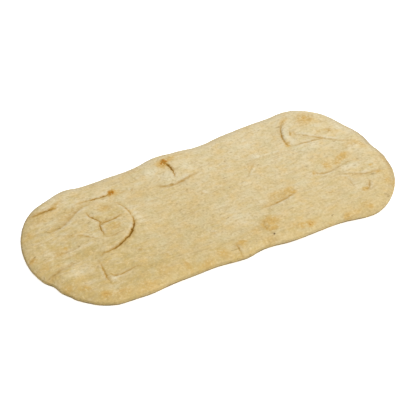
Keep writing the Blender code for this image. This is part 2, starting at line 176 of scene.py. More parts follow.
# Toasted patches: centre, radii, turn in degrees, strength
TOASTED = (
    (-62.3, 44.6, 3.7, 2.3, 32, 2.0),
    (-60, 43, 6.0, 4.0, 0, 0.55),
    (-9.2, 56.5, 2.9, 2.7, 0, 2.2),
    (-12, 54, 5.0, 4.5, 0, 1.15),
    (-4, 57, 5.5, 2.4, 20, 0.95),
    (-7, 47, 2.4, 7.0, -5, 0.5),
    (90, 30, 2.2, 5.0, -10, 0.65),
    (101, 56, 3.0, 6.0, -45, 0.5),
    (89, 29, 2.5, 3.0, -10, 0.9),
    (117, 49, 8.0, 6.5, -10, 0.75),
    (117, 55, 8.0, 4.0, -10, 0.45),
    (98, 38, 3.0, 3.5, -20, 0.6),
    (127, 29, 5.0, 3.5, -30, 0.5),
    (119, 31, 3.0, 2.0, 0, 0.4),
    (90, -11, 3.0, 4.0, -20, 0.45),
    (103, -8, 3.5, 5.5, 0, 0.62),
    (113, -8, 5.0, 3.5, 28, 0.7),
    (119.5, -5, 8.0, 4.0, 22, 0.78),
    (133, -26, 1.8, 1.6, 0, 0.9),
    (52, -21.5, 13.0, 7.5, 10, 0.5),
    (60, -21, 6.5, 5.5, 10, 0.66),
    (63, -23, 3.5, 2.2, 0, 1.0),
    (30, -45, 8.0, 7.0, 0, 0.8),
    (23, -49, 2.4, 6.0, 10, 0.85),
    (28, -53, 6.0, 2.5, 0, 0.85),
    (115, -47.5, 3.6, 3.1, 0, 0.8),
    (-77, 6, 5.0, 5.0, 0, 0.55),
    (-83, 15, 4.0, 3.0, 0, 0.4),
    (-76, 29, 7.0, 5.0, 10, 0.55),
    (89, -12, 2.2, 3.0, -20, 0.65),
    (134.5, -34.5, 4.0, 2.0, -10, 0.65),
    (-148, 3, 4.0, 4.0, 0, 0.75),
    (-143, -10, 5.0, 2.5, -20, 0.4),
    (-144, -22, 6.0, 3.0, 0, 0.55),
    (-138, -37, 4.0, 4.0, -30, 0.6),
    (-129, -1, 4.0, 4.0, 0, 0.4),
    (-120, 48, 12.0, 3.0, -5, 0.5),
    (-111, 48, 4.0, 2.0, 0, 0.8),
    (-138, 30, 4.0, 4.0, 0, 0.55),
    (-128, -43, 7.0, 4.0, -40, 0.6),
    (-116, -56, 5.0, 4.0, -30, 0.8),
    (-104, -60, 9.0, 5.0, 0, 0.5),
    (-84, -62, 12.0, 5.0, 0, 0.45),
    (-66, -55, 9.0, 8.0, 0, 0.35),
    (-49, -58, 3.0, 7.0, 0, 0.55),
    (-34, -62, 9.0, 4.0, 10, 0.5),
    (-19, -58, 5.0, 7.0, 20, 0.5),
    (-1, -55, 5.0, 3.5, 0, 0.8),
    (14, -49, 9.0, 5.0, 20, 0.35),
    (20, -62, 9.0, 4.0, 0, 0.35),
    (56, -61, 4.5, 3.5, 0, 0.9),
    (49, -60, 4.0, 3.0, 0, 0.8),
    (43, -58, 4.0, 6.0, 0, 0.4),
    (87, -66, 4.0, 2.6, 0, 0.75),
    (96, -66, 8.0, 3.0, 0, 0.4),
    (108, -66, 3.0, 2.4, 0, 0.6),
    (71, -67, 5.0, 2.5, 0, 0.4),
    (104, -63, 8.0, 5.0, 20, 0.4),
    (137, -45, 4.0, 8.0, -30, 0.5),
    (-108, 51, 7.0, 2.4, 8, 0.55),
    (-125, 40, 10.0, 7.0, 20, 0.35),
    (-106, 35, 14.0, 5.0, 25, 0.35),
    (-112, 12, 5.0, 3.0, 0, 0.4),
    (132, 5, 8.0, 4.0, 10, 0.4),
    (50, 22, 7.0, 5.0, 40, 0.25),
    (146, -34, 2.5, 9.0, -15, 0.6),
    (140, -49, 2.6, 6.0, -40, 0.6),
    (140, 3, 9.5, 3.6, -60, 0.48),
    (148, -24, 2.6, 8.0, 4, 0.75),
    (-38, 60, 7.0, 4.0, 0, 0.4),
    (-121.5, 2, 1.6, 2.0, 0, 0.7),
    (-135, -12, 2.4, 2.0, 0, 0.55),
)

# Burnt specks, in the same terms
BURNT = (
    (25.5, -58.5, 0.9, 1.2, -20, 1.0),
    (-9.5, 59, 1.4, 1.0, 0, 0.5),
    (-62, 44, 1.2, 0.9, 20, 0.4),
)

# Pale patches, in the same terms: flour, and painted highlight on ridges and slopes that face the light
FLOUR_AND_HIGHLIGHT_PATCHES = (
    (117, -19, 11.0, 4.0, -8, 0.65),
    (112, -42, 9.0, 6.0, 0, 0.4),
    (-128, -24, 8.0, 4.0, 8, 0.4),
    (-121, -27, 9.0, 5.0, 0, 0.75),
    (-120, -40, 9.0, 8.0, 0, 0.35),
    (-134, -2, 8.0, 8.0, 0, 0.5),
    (-104, -45, 3.0, 4.5, 0, 0.9),
    (14, -32, 12.0, 8.0, 0, 0.5),
    (-10, -42, 14.0, 5.0, 0, 0.4),
    (42, -43, 8.0, 6.0, 0, 0.4),
    (-56, 14, 3.0, 14.0, 0, 0.5),
    (-14, 40, 10.0, 6.0, 0, 0.65),
    (-23, 48, 7.0, 7.0, 0, 0.6),
    (4, 45, 6.0, 7.0, 0, 0.55),
    (95, 38, 3.0, 8.0, -10, 0.6),
    (104, 17, 10.0, 4.0, 0, 0.6),
    (-112, -52, 14.0, 5.0, -20, 0.4),
    (138, 26, 4.0, 9.0, 20, 0.5),
    (134, -2, 6.0, 8.0, 40, 0.5),
    (60, 50, 24.0, 10.0, 0, 0.2),
    (-135, 8, 8.0, 8.0, 0, 0.3),
    (72, 20, 8.0, 8.0, 0, 0.2),
)

# Nicks and bumps of the outline, too small for the solid, in the terms of the edge's swells
NICKS = (
    (238, -0.4, 7.0), (252, 0.4, 6.0), (48, 0.5, 7.0), (172, 0.4, 4.0), (217, 0.3, 5.0),
    (411, 0.4, 2.0), (419, -0.5, 3.0), (428, 0.4, 2.5), (436, -0.5, 3.5), (449, -0.4, 4.0),
    (490, -0.6, 5.0), (501, 0.3, 5.0), (520, -0.6, 6.0), (544, 0.5, 5.0), (560, -0.6, 6.0),
    (595, -0.6, 6.0), (607, 0.3, 3.0), (763, -0.5, 2.0), (768, 0.3, 2.0),
)

# The baked surface closes over the grooves, so that they are shallower and narrower
GROOVE_DEPTH = 0.35
GROOVE_WIDTH = 0.7

# Waver of the creases: how far they are moved, the size of the bends, and a seed for each way
WAVER = ((0.5, 5.0), (0.75, 2.2))
WAVER_SEEDS = (21.0, 31.0)

# Creases come and go along their course: size and seed of the changes, how much a plain one
# changes and how much less a stained and shaded one does
UNEVEN_SIZE = 3.2
UNEVEN_SEED = 23.0
UNEVEN_PLAIN = 0.7
UNEVEN_LESS = 0.4

# Stain of a crease, partly painted shade: how it tapers with the groove, the most that unevenness
# makes of it, the steady and uneven shares of its width, and strength, width and growth of the halo round it
STAIN_AND_SHADE_TAPER = 0.6
STAIN_AND_SHADE_MOST = 1.3
STAIN_AND_SHADE_STEADY = 0.7
STAIN_AND_SHADE_UNEVEN = 0.3
HALO_STRENGTH = 0.25
HALO_WIDTH = 1.3
HALO_GROWTH = 0.7

# Painted highlight on the crest beside a crease: paleness of a plain one, distance, width, and
# share of it in the flour and highlight field
FOLD_HIGHLIGHT = 0.4
FOLD_HIGHLIGHT_PLACE = 2.0
FOLD_HIGHLIGHT_WIDTH = 1.2
FOLD_HIGHLIGHT_SHARE = 0.9

# Lumps of the crust, from coarse to fine, and long low wrinkles: height, size, stretch, seed
LUMPS = (
    (0.28, 13.0, 1.2, 1.0),
    (0.22, 6.5, 1.2, 2.0),
    (0.13, 3.2, 1.0, 3.0),
    (0.1, 3.5, 5.0, 4.0),
)

# Dimples of the underside, in the same terms
DIMPLES = (0.35, 7.0, 1.3, 8.0)

# Unevenness of the outline: height, size and seed, how soon it fades inwards, and the ragged
# left front as centre, radii and added share
EDGE_LUMPS = ((0.24, 4.5, 11.0), (0.16, 1.9, 12.0))
EDGE_LUMPS_FADE = 2.5
RAGGED_CENTRE = (-140, -40)
RAGGED_RADII = (28, 26)
RAGGED_SHARE = 0.7

# The left end is lumpier and more mottled: places along the bread, and the share at each
LUMPY_PLACES = (-115.0, -80.0, -40.0)
LUMPY_SHARES = (2.0, 1.5, 1.0)
LIVELY_PLACES = (-115.0, -80.0, -40.0, 80.0, 110.0)
LIVELY_SHARES = (2.4, 1.7, 1.0, 1.0, 0.85)

# Paleness of the crust, partly painted light falling from the right back and partly its own bake: in the
# middle, its rise along and across as amount and distance, broad patches (a painted lighter middle and a
# shaded left front) as centre, radii and amount, and on the underside, and how steeply small patches end
TONE_MIDDLE = 0.385
TONE_ALONG = (0.23, 130.0)
TONE_ACROSS = (0.175, 45.0)
TONE_PATCHES = (
    ((-5.0, -20.0), (38.0, 30.0), 0.08),
    ((-115.0, -30.0), (35.0, 30.0), -0.14),
)
TONE_UNDER = 0.35
PATCH_STEEPNESS = 1.2

# Rim: the way to the back, and where and over what length the left and right ends begin
BACKWARDS = (0.48, 0.88)
LEFT_END = -90.0
LEFT_CHANGE = 50.0
RIGHT_END = 70.0
RIGHT_CHANGE = 60.0

# Width of the painted shade along the top's edge, where the rim rolls away from the light, and partly
# a darker crust edge: at the sides, its growth towards the back, the least, how much less at the left
# end, the most, at the right end, and of its sharp outer edge
LINE_WIDTH = 1.4
LINE_GROWTH = 1.75
LINE_LEAST = 0.6
LINE_LEAST_LEFT = 0.2
LINE_MOST = 5.5
LINE_RIGHT = 4.5
LINE_SHARP = 0.15

# Darkness of that painted shade: everywhere, added where the edge faces sideways, added at the left end,
# taken off at the right end, and added at its back, as amount, place and width
LINE_DARK = 0.26
LINE_DARK_SIDES = 0.32
LINE_DARK_LEFT = 0.3
LINE_PALE_RIGHT = 0.2
LINE_DARK_CORNER = (0.54, 0.5, 0.4)
SHARP_DARK = 0.45
SHARP_DARK_LEFT = 0.2

# Heel, painted contact shade and partly a browned edge: its darkness, the paler very edge, how much
# less pale at the left end, and the halo
HEEL_DARK = 0.95
HEEL_DARK_WIDTH = 1.9
HEEL_PALE = 0.4
HEEL_PALE_LEFT = 0.2
HEEL_PALE_WIDTH = 0.3
HEEL_HALO = 0.3
HEEL_HALO_WIDTH = 5.5

# Paler band on the back rim: width, and how much less at the left end
PALE_BACK_RIM_WIDTH = 7.0
PALE_BACK_RIM_LESS_LEFT = 0.4

# Fine mesh: points of the edge, of the line that distances are measured from, and of curves
EDGE_STATIONS = 900
FINE_STATIONS = 1440
QUARTER_STATIONS = 300
CREASE_STATIONS = 120
COARSE_STATIONS = 60

# Points whose distances are measured at once
BLOCK = 2000

# Rings inside the edge, and spacing and gaps of the points further in
TOP_RINGS = 13
UNDER_RINGS = 8
TOP_SPACING = 1.12
TOP_GAP = TOP_SPACING * 0.55
UNDER_SPACING = 2.6
UNDER_MARGIN = 1.5

# Rows of points along the creases, their gaps, how far a crease is felt, how often the rows are
# moved until they waver with it, and how near points count as one
CREASE_STEP = 0.75
CREASE_ROWS = (0.0, -0.32, 0.32, -0.68, 0.68, -1.2, 1.2, -1.9, 1.9)
CREASE_GAP = 0.3
RING_GAP = CREASE_GAP * 0.3
CREASE_EDGE_GAP = 0.8
CREASE_REACH = 30.0
WAVER_PASSES = 4
CLOSE = 1e-5

# Texture map: margin round the bread, and the middles of the top and the underside
MAP_MARGIN = 9.0
MAP_TOP = (0.5, 0.745)
MAP_UNDER = (0.5, 0.255)

# Colours as they look, red, green and blue from 0 to 255
COLOURS = {
    "crust": (219, 198, 150),
    "dark crust": (206, 180, 118),
    "pale crust": (233, 221, 188),
    "warm crust": (228, 192, 124),
    "cool crust": (210, 200, 158),
    "band": (221, 192, 128),
    "toast": (212, 172, 94),
    "deep toast": (184, 118, 16),
    "underside": (190, 146, 80),
    "dark grain": (186, 163, 114),
    "pale grain": (240, 220, 174),
    "wrinkle": (188, 158, 100),
    "pore": (168, 138, 86),
    # Crease stain, partly painted shade where it is wide and soft
    "stain_and_shade": (181, 139, 60),
    "deep stain": (126, 86, 8),
    "burnt": (88, 62, 26),
    # Paler band on the back rim
    "pale_back_rim": (222, 209, 180),
    # Painted shade of the rim's edge and of the heel
    "brown rim": (130, 108, 58),
    "grey rim": (158, 140, 108),
    "heel": (96, 82, 46),
}

# Layers over the crust: the values of what each follows where it begins and is full, strength
LAYERS = {
    "dark crust": (0.45, -0.25, 1.0),
    "pale crust": (0.45, 1.3, 1.0),
    "warm crust": (0.5, 0.7, 0.32),
    "cool crust": (0.5, 0.3, 0.32),
    "toast": (0.0, 0.85, 0.85),
    "dark grain": (0.48, 0.74, 0.56),
    "pale grain": (0.48, 0.26, 0.43),
    "wrinkle": (0.54, 0.7, 0.4),
    "pore": (0.66, 0.78, 0.55),
    "deep toast": (0.95, 1.55, 0.95),
    # Crease stain, partly painted shade where it is wide and soft
    "stain_and_shade": (0.0, 0.5, 0.85),
    "deep stain": (0.45, 1.0, 0.95),
    "burnt": (0.2, 0.8, 0.9),
    # Painted shade of the rim's edge: from brown to grey as the crust gets paler
    "grey rim": (0.1, 0.6, 1.0),
}

# How far the noises swing the crust's paleness, the coarse and the fine ones, and its toast
COARSE_SWINGS = {"broad": 0.14, "blotch": 0.21}
FINE_SWINGS = {"mottle": 0.27, "wrinkle": 0.24}
TOAST_SWINGS = {"mottle": 0.42, "grain": 0.5}

# Shares of the flour and painted highlight and of the paler back rim, and ranges of a value that become
# ranges of a share: the fine swings where the crust is lively, the rim's mottle, the band's width, its
# strength where the crust is dark and its breaks, and blotches and broad patches of the underside
FLOUR_AND_HIGHLIGHT_SHARE = 0.75
PALE_BACK_RIM_SHARE = 0.45
FINE_LIVELY = (0.8, 2.4, 0.9, 1.3)
RIM_MOTTLE = (0.2, 0.6, 0.5, 1.0)
BAND_WIDTH = (18.0, 2.0)
BAND_DARK = (0.9, 0.0, 0.05, 0.29)
BAND_BREAKS = (0.35, 0.6, 0.3, 1.0)
UNDER_BLOTCHES = (0.4, 0.66)
UNDER_PATCHES = (0.38, 0.62, 0.2, 0.85)

# Sizes of the crust's noises, in metres, and height of the fine relief made of them
BROAD = 0.026
HUE = 0.01
BLOTCH = 0.0078
MOTTLE = 0.0046
WRINKLE = 0.0026
PORE = 0.0026
GRAIN = 0.002
BUMP = 0.0009

# Shares of the noises in that relief, and the range of the pores' noise with its depth
RELIEF = {"mottle": 0.8, "grain": 0.45, "blotch": 0.6, "wrinkle": 0.5}
PORE_RELIEF = (0.66, 0.8, 0.0, 0.35)

# Range that a noise seldom leaves, roughness of the crust and the floor, and gloss of both
NOISE_RANGE = (0.3, 0.7)
CRUST_ROUGHNESS = (0.92, 0.78)
FLOOR_ROUGHNESS = 0.9
GLOSS = 0.1

# ---- stage, in metres ----
# Floor: half its side, drop below the bread, its two whites, their size and its glow
FLOOR_HALF = 4.0
FLOOR_DROP = 0.0002
FLOOR_WHITES = ((0.93, 0.93, 0.93, 1.0), (0.95, 0.95, 0.95, 1.0))
FLOOR_NOISE = 0.4
FLOOR_GLOW = 0.62

# White, and the strength of the white surroundings
WHITE = (1.0, 1.0, 1.0, 1.0)
SURROUNDINGS = 0.7

# Soft boxes: place, size, power
SOFT_BOXES = {
    "key": ((0.95, 0.4, 1.65), 0.9, 20.0),
    "fill": ((0.3, -1.6, 1.25), 1.4, 14.0),
}

# Brightness of the studio light on a level white surface
BRIGHTNESS = 1.29

# Camera at the photograph's angle, with a long lens
CAMERA_PLACE = (-0.5096, -0.9268, 0.9261)
CAMERA_AIM = (0.0001, 0.0003, 0.0)
CAMERA_LENS = 155.77
CAMERA_SENSOR = 36.0
CAMERA_REACH = 50.0


# ---- plan of the bread ----
def even_steps(points, count):
    """Spaces count points evenly round a closed line."""
    loop = np.vstack([points, points[:1]])
    gaps = np.hypot(*np.diff(loop, axis=0).T)
    run = np.concatenate([[0.0], np.cumsum(gaps)])
    place = np.linspace(0.0, run[-1], count, endpoint=False)
    x = np.interp(place, run, loop[:, 0])
    y = np.interp(place, run, loop[:, 1])
    return np.column_stack([x, y]), place, run[-1]


def outward(points):
    """Outward unit normals of a closed line that runs anticlockwise."""
    along = np.roll(points, -1, axis=0) - np.roll(points, 1, axis=0)
    along /= np.hypot(along[:, 0], along[:, 1])[:, None]
    return np.column_stack([along[:, 1], -along[:, 0]])


def swell(away, height, spread):
    """A smooth swell of the edge, highest where away is nought."""
    return height * np.exp(-0.5 * (away / spread) ** 2)


def end_quarter(end, roundness, half_width):
    """A quarter of the plan, from the tip to where the long side begins."""
    turn = np.linspace(0.0, math.pi / 2, QUARTER_STATIONS)
    x = LENGTH / 2 - end + end * np.cos(turn) ** (2.0 / roundness)
    y = half_width * np.sin(turn) ** (2.0 / roundness)
    return np.column_stack([x, y])


def edge_line(count):
    """The bread's edge in plan, anticlockwise from the right tip."""
    right = end_quarter(END_RIGHT, ROUNDNESS_RIGHT, HALF_WIDTH_RIGHT)
    left = end_quarter(END_LEFT, ROUNDNESS_LEFT, HALF_WIDTH_LEFT) * (-1.0, 1.0)
    flip = (1.0, -1.0)
    loop = np.vstack([right, left[::-1], left[1:] * flip, right[:0:-1] * flip])
    points, place, total = even_steps(loop, FINE_STATIONS)
    height = np.zeros(len(points))
    for centre, swell_height, spread in EDGE_SWELLS.values():
        away = (place - centre + total / 2) % total - total / 2
        height += swell(away, swell_height, spread)
    points = points + outward(points) * height[:, None]
    low = points.min(axis=0)
    high = points.max(axis=0)
    points = (points - (low + high) / 2) * (np.array([LENGTH, WIDTH]) / (high - low))
    return even_steps(points, count)[0]


def curve_points(curve, count):
    """Points on a cubic curve, given its start, two handles and end."""
    start, first, second, end = np.array(curve, dtype=float)
    u = np.linspace(0.0, 1.0, count)[:, None]
    v = 1.0 - u
    return v ** 3 * start + 3 * v * v * u * first + 3 * v * u * u * second + u ** 3 * end


def left_normals(line):
    """Unit normals on the left of an open line."""
    along = np.gradient(line, axis=0)
    along /= np.hypot(along[:, 0], along[:, 1])[:, None]
    return np.column_stack([-along[:, 1], along[:, 0]])


def nearest(points, line):
    """Which point of a line is nearest to each point in plan."""
    near = np.empty(len(points), dtype=int)
    for first in range(0, len(points), BLOCK):
        block = points[first:first + BLOCK]
        apart = block[:, None, :] - line[None, :, :]
        near[first:first + BLOCK] = (apart ** 2).sum(axis=2).argmin(axis=1)
    return near


def edge_frame(points, edge):
    """For each point the nearest place of the edge, the way out there and the distance in."""
    near = nearest(points, edge)
    normals = outward(edge)[near]
    return near, normals, -((points - edge[near]) * normals).sum(axis=1)


def edge_distance(points, edge):
    """Distance of each point in from the edge, negative outside."""
    return edge_frame(points, edge)[2]


# ---- soft shapes and noise over the plan ----
def bell(away, spread):
    """One where away is nought, falling off smoothly on both sides."""
    return np.exp(-(away / spread) ** 2)


def oval_reach(points, centre, radii):
    """Squared distance of points from a centre, in an oval's radii."""
    return (((points - centre) / radii) ** 2).sum(axis=1)


def noise_field(points, scale, stretch, seed):
    """Smooth noise from -1 to 1, its lumps scale long across and stretch times that along."""
    spots = points / (scale * stretch, scale)
    return np.array([noise.noise(Vector((x, y, seed))) for x, y in spots])


def patch_field(points, patches):
    """Soft oval patches, the strongest one at each point."""
    field = np.zeros(len(points))
    for x, y, along, across, turn, strength in patches:
        angle = math.radians(turn)
        dx = points[:, 0] - x
        dy = points[:, 1] - y
        u = (dx * math.cos(angle) + dy * math.sin(angle)) / along
        v = (dy * math.cos(angle) - dx * math.sin(angle)) / across
        field = np.maximum(field, strength * np.exp(-(u * u + v * v) ** PATCH_STEEPNESS))
    return field


def tone_and_painted_light(points):
    """Paleness of the crust, least at the left front and most at the right back: partly painted light
    falling from the right back, partly the crust's own bake.
    """
    rise_along, length = TONE_ALONG
    rise_across, width = TONE_ACROSS
    tone = TONE_MIDDLE + rise_along * (points[:, 0] / length) + rise_across * (points[:, 1] / width)
    for centre, radii, amount in TONE_PATCHES:
        tone += amount * np.exp(-oval_reach(points, centre, radii))
    return tone


# ---- creases and relief ----
def wavered(points):
    """Points moved a little, so that the creases waver."""
    moved = points.copy()
    for axis, seed in enumerate(WAVER_SEEDS):
        for step, (reach, size) in enumerate(WAVER):
            moved[:, axis] += reach * noise_field(points, size, 1.0, seed + step)
    return moved


def crease_stain_and_shade(away, strength, unevenness, stain_and_shade, width):
    """Darkness of a crease, brown stain and partly painted shade: an uneven core with a faint halo."""
    uneven = np.clip(strength ** STAIN_AND_SHADE_TAPER * unevenness, 0.0, STAIN_AND_SHADE_MOST)
    core = bell(away, width * (STAIN_AND_SHADE_STEADY + STAIN_AND_SHADE_UNEVEN * unevenness))
    halo = HALO_STRENGTH * bell(away, HALO_WIDTH + HALO_GROWTH * width)
    return stain_and_shade * uneven * np.maximum(core, halo)


def near_crease(points, line):
    """The points near a crease: which they are, their nearest place on it, distance and side."""
    low = line.min(axis=0) - CREASE_REACH
    high = line.max(axis=0) + CREASE_REACH
    rows = np.flatnonzero(((points > low) & (points < high)).all(axis=1))
    near = nearest(points[rows], line)
    apart = points[rows] - line[near]
    away = np.sqrt((apart ** 2).sum(axis=1))
    side = (apart * left_normals(line)[near]).sum(axis=1)
    return rows, near, away, side


def crease_field(points, crease):
    """Height, stain with its painted shade, and painted highlight on the fold's crest that one crease gives
    to points in plan.
    """
    depth, half_width, deepest, fold, fold_place, stain_and_shade, stain_and_shade_width = crease[4:]
    line = curve_points(crease[:4], CREASE_STATIONS)
    changes = noise_field(line, UNEVEN_SIZE, 1.0, UNEVEN_SEED)
    unevenness = 1.0 + (UNEVEN_PLAIN - UNEVEN_LESS * stain_and_shade) * changes
    rows, near, away, side = near_crease(points, line)
    fold_side = side * fold_place > 0
    share = near / (CREASE_STATIONS - 1.0)
    strength = np.sin(math.pi * share ** (math.log(0.5) / math.log(deepest)))
    groove = depth * GROOVE_DEPTH * bell(away, half_width * GROOVE_WIDTH)
    steps = away / abs(fold_place)
    ridge = steps * np.exp(1.0 - steps) * fold_side
    # Painted highlight on the fold's crest beside the crease
    highlight_crest = bell(away - FOLD_HIGHLIGHT_PLACE, FOLD_HIGHLIGHT_WIDTH) * fold_side

    height, dark, pale = np.zeros((3, len(points)))
    height[rows] = strength * (fold * ridge - groove)
    dark[rows] = crease_stain_and_shade(away, strength, unevenness[near], stain_and_shade, stain_and_shade_width)
    pale[rows] = min(1.0, FOLD_HIGHLIGHT + stain_and_shade) * strength * highlight_crest
    return height, dark, pale


def blister_height(points, blister):
    """Low dome of one blister."""
    centre, radii, height, steepness = blister
    return height / (1.0 + oval_reach(points, centre, radii) ** steepness)


def fine_relief(points):
    """Lumps of the crust, higher at the left end."""
    relief = np.zeros(len(points))
    for height, size, stretch, seed in LUMPS:
        relief += height * noise_field(points, size, stretch, seed)
    return relief * np.interp(points[:, 0], LUMPY_PLACES, LUMPY_SHARES)


def top_level(points, inset):
    """Height of the top before its creases and lumps, as the solid has it."""
    level = np.full(len(points), THICKNESS)
    level += RIM_PUFF * bell(inset - RIM_PUFF_PLACE, RIM_PUFF_SPREAD)
    for height, along, across, phase in TOP_WAVES:
        turns = points[:, 0] / along + points[:, 1] / across
        level += height * np.sin(2 * math.pi * turns + phase)
    for blister in BLISTERS.values():
        level += blister_height(points, blister)
    return level


def top_surface(points, edge):
    """Height of the top, the stain and painted shade of its creases and the painted highlight on its folds.
    """
    inset = np.clip(edge_distance(points, edge), 0.0, None)
    level = top_level(points, inset)
    stain_and_shade = np.zeros(len(points))
    fold = np.zeros(len(points))
    spots = wavered(points)
    for crease in ALL_CREASES:
        height, dark, pale = crease_field(spots, crease)
        level += height
        stain_and_shade = np.maximum(stain_and_shade, dark)
        fold = np.maximum(fold, pale)
    level += fine_relief(points)
    rise = 1.0 - np.minimum(inset / SHOULDER, 1.0)
    return RIM_HEIGHT + (level - RIM_HEIGHT) * np.sqrt(1.0 - rise ** 2), stain_and_shade, fold


def under_surface(points, edge):
    """Height of the underside: flat with shallow dimples, turned up at the edge."""
    inset = np.clip(edge_distance(points, edge), 0.0, None)
    rise = 1.0 - np.minimum(inset / HEEL, 1.0)
    heel = RIM_HEIGHT * (1.0 - np.sqrt(1.0 - rise ** 2))
    height, size, stretch, seed = DIMPLES
    dimples = np.clip(noise_field(points, size, stretch, seed), 0.0, None) * height
    return heel + dimples * (1.0 - rise ** 2)


def nicked(points, edge):
    """Moves points near the edge in and out a little, so that the outline is uneven."""
    near, normals, inset = edge_frame(points, edge)
    spots = edge[near]
    total = np.hypot(*(np.roll(edge, -1, axis=0) - edge).T).sum()
    amount = np.zeros(len(points))
    for height, size, seed in EDGE_LUMPS:
        amount += height * noise_field(spots, size, 1.0, seed)
    for place, height, spread in NICKS:
        amount += swell(near * total / len(edge) - place, height, spread)
    ragged = 1.0 + RAGGED_SHARE * np.exp(-oval_reach(spots, RAGGED_CENTRE, RAGGED_RADII))
    fade = np.exp(-np.clip(inset, 0.0, None) / EDGE_LUMPS_FADE)
    return points + normals * (amount * ragged * fade)[:, None]


# ---- painted shade of the rim and heel ----
def painted_rim_shade(inset, back, left, right):
    """Painted shade along the top's edge, where the rim rolls away from the light, and partly a darker crust
    edge: a line that is wider at the back and the right end.
    """
    least = LINE_LEAST - LINE_LEAST_LEFT * left
    width = np.clip(LINE_WIDTH * np.exp(LINE_GROWTH * back), least, LINE_MOST)
    width = np.maximum(width, LINE_RIGHT * right)
    amount, place, spread = LINE_DARK_CORNER
    line = LINE_DARK + LINE_DARK_SIDES * (1.0 - abs(back)) + LINE_DARK_LEFT * left
    line += right * (amount * bell(back - place, spread) - LINE_PALE_RIGHT)
    line *= np.exp(-(inset / width) ** 3)
    sharp = (SHARP_DARK + SHARP_DARK_LEFT * left) * bell(inset, LINE_SHARP)
    return np.maximum(line, sharp)


def painted_heel_shade(inset, left):
    """Painted contact shade on the turned-up heel, and partly a browned edge: less at the very edge and
    fading inwards.
    """
    pale = (HEEL_PALE - HEEL_PALE_LEFT * left) * bell(inset, HEEL_PALE_WIDTH)
    heel = (HEEL_DARK - pale) * np.exp(-(inset / HEEL_DARK_WIDTH) ** 3)
    return heel + HEEL_HALO * (1.0 - heel) * bell(inset, HEEL_HALO_WIDTH)


def painted_rim_and_heel_shade(points, edge, is_top):
    """Painted shade of the rim and heel, and the paler band on the back rim."""
    near, normals, inset = edge_frame(points, edge)
    inset = np.clip(inset, 0.0, None)
    back = normals @ BACKWARDS
    left = np.clip((LEFT_END - edge[near][:, 0]) / LEFT_CHANGE, 0.0, 1.0)
    right = np.clip((edge[near][:, 0] - RIGHT_END) / RIGHT_CHANGE, 0.0, 1.0)
    # Painted shade on the top's edge and on the heel
    shade = np.where(is_top, painted_rim_shade(inset, back, left, right), painted_heel_shade(inset, left))
    pale_back_rim = np.clip(back, 0.0, 1.0) * (1.0 - PALE_BACK_RIM_LESS_LEFT * left) * bell(inset, PALE_BACK_RIM_WIDTH)
    return shade, pale_back_rim * is_top


# ---- mesh ----
def keep_apart(kept, fresh, gap):
    """Adds each fresh point that is at least gap from every kept one."""
    cells = {}
    for x, y in kept:
        cells.setdefault((int(x // gap), int(y // gap)), []).append((x, y))
    added = []
    for x, y in fresh:
        column, row = int(x // gap), int(y // gap)
        near = [p for i in (-1, 0, 1) for j in (-1, 0, 1)
                for p in cells.get((column + i, row + j), ())]
        if all(math.hypot(x - a, y - b) >= gap for a, b in near):
            cells.setdefault((column, row), []).append((x, y))
            added.append((x, y))
    return kept + added


def ring_points(edge, depth, count):
    """Rings inside the edge, closest where the rim is steepest."""
    rings = []
    for step in range(1, count + 1):
        inset = depth * (1.0 - math.cos(math.pi / 2 * step / count))
        rings.append(edge - outward(edge) * inset)
    return np.vstack(rings)


def crease_points(edge):
    """Points in rows along every crease."""
    rows = []
    for crease in ALL_CREASES:
        coarse = curve_points(crease[:4], COARSE_STATIONS)
        length = np.hypot(*np.diff(coarse, axis=0).T).sum()
        line = curve_points(crease[:4], max(3, round(length / CREASE_STEP)))
        for offset in CREASE_ROWS:
            rows.append(line + left_normals(line) * offset)
    straight = np.vstack(rows)
    points = straight.copy()
    for _ in range(WAVER_PASSES):
        points = straight - (wavered(points) - points)
    return points[edge_distance(points, edge) > CREASE_EDGE_GAP]


def grid_points(edge, spacing, inset):
    """Evenly spaced points, rows staggered, that keep inside the edge."""
    rise = spacing * math.sqrt(3) / 2
    rows = np.arange(int(-WIDTH / 2 / rise), int(WIDTH / 2 / rise) + 1)
    columns = np.arange(int(-LENGTH / 2 / spacing), int(LENGTH / 2 / spacing) + 1)
    column, row = np.meshgrid(columns, rows)
    x = column * spacing + spacing / 2 * (row % 2)
    points = np.column_stack([x.ravel(), (row * rise).ravel()])
    return points[edge_distance(points, edge) > inset]


def top_points(edge, fine_edge):
    """Points of the top: its edge, the rings of its rim, rows along the creases and a grid."""
    edge_list = [tuple(p) for p in edge]
    creases = keep_apart(edge_list, crease_points(fine_edge), CREASE_GAP)[len(edge):]
    rings = ring_points(edge, SHOULDER, TOP_RINGS)
    rings = keep_apart(creases, rings, RING_GAP)[len(creases):]
    grid = grid_points(fine_edge, TOP_SPACING, SHOULDER + TOP_SPACING / 2)
    return np.array(edge_list + rings + keep_apart(creases, grid, TOP_GAP))


def under_points(edge, fine_edge):
    """Points of the underside: its edge, the rings of its heel and a grid."""
    grid = grid_points(fine_edge, UNDER_SPACING, HEEL + UNDER_MARGIN)
    return np.vstack([edge, ring_points(edge, HEEL, UNDER_RINGS), grid])


def face_triangles(points, count):
    """Joins the points of one face into triangles inside its edge."""
    flat = [Vector(p) for p in points]
    corners, _, faces, *_ = delaunay_2d_cdt(flat, [], [list(range(count))], 1, CLOSE)
    if len(corners) != len(points):
        raise ValueError("the points of a face fall on one another")
    return [tuple(face) for face in faces]


